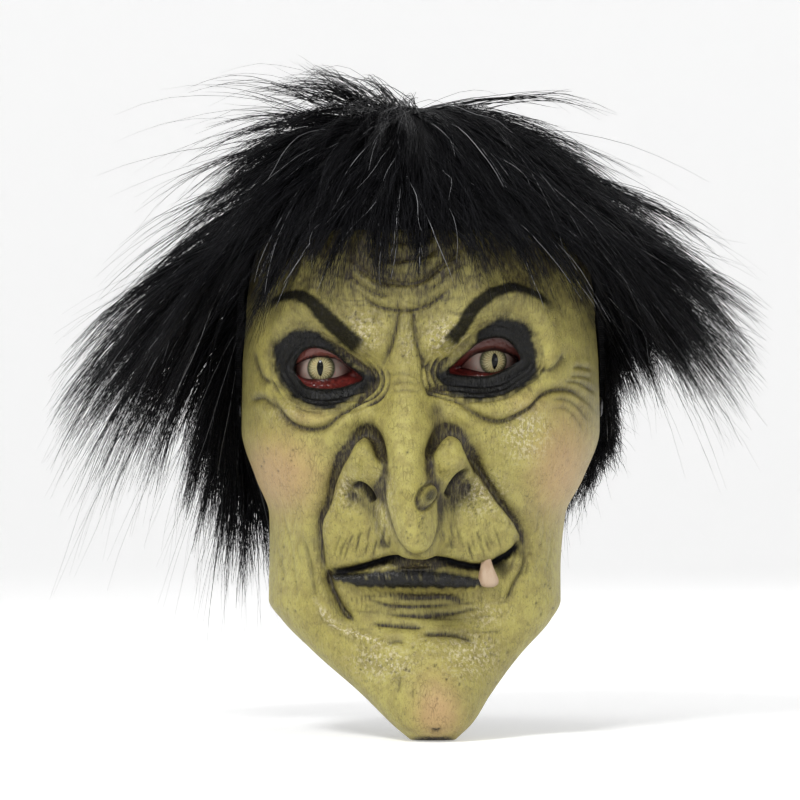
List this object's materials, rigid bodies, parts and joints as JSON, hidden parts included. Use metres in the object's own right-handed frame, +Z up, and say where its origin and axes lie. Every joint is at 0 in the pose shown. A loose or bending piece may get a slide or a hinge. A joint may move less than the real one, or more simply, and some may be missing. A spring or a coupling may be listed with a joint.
{
  "type": "latex halloween mask",
  "caption": "Three-quarter witch mask: cast latex face with hooked nose and chin, prop eyes, black faux-fur wig, and an elastic strap that swings on side rivets and carries a slider.",
  "frame": {"origin": "the wearer's head: eye level, on the vertical axis of the head, where the mount wearer_head is", "axes": "+Z up, the face looks along -Y, +X is the viewer's right when facing the mask"},
  "size_m": [0.302, 0.2409, 0.2885],
  "materials": {
    "latex": "cast latex, olive green with dark wash in the creases, satin",
    "enamel": "cast resin tooth, pale tan, semi-gloss",
    "acrylic": "painted acrylic half eye, glossy, slit pupil",
    "lid_latex": "red painted latex, satin",
    "foam": "black foam rubber, matt",
    "knit": "black knitted backing, matt",
    "fur": "long-pile black faux fur, silky sheen",
    "webbing": "black woven elastic, matt",
    "steel": "nickel-plated steel, semi-gloss",
    "nylon": "black moulded nylon, satin"
  },
  "bodies": {
    "shell": {"face_shell": "latex", "tooth": "enamel", "eye_left": "acrylic", "eye_right": "acrylic", "lid_liner_left": "lid_latex", "lid_liner_right": "lid_latex", "eye_seat_left": "foam", "eye_seat_right": "foam", "wig_backing": "knit", "fur_crown": "fur", "fur_fringe": "fur", "fur_back": "fur", "fur_side_left": "fur", "fur_side_right": "fur", "anchor_patch_left": "webbing", "anchor_patch_right": "webbing", "rivet_left": "steel", "rivet_right": "steel", "washer_left": "steel", "washer_right": "steel"},
    "strap": {"elastic_strap": "webbing"},
    "slider": {"strap_slider": "nylon"}
  },
  "joints": [
    {"name": "strap_swing", "type": "hinge", "parent": "shell", "child": "strap", "pos_m": [0, 0, -0.018], "axis": [1, 0, 0], "range_deg": [-50, 10]},
    {"name": "slider_slide", "type": "slide", "parent": "strap", "child": "slider", "axis": [1, 0, 0], "range_m": [-0.018, 0.018]}
  ]
}
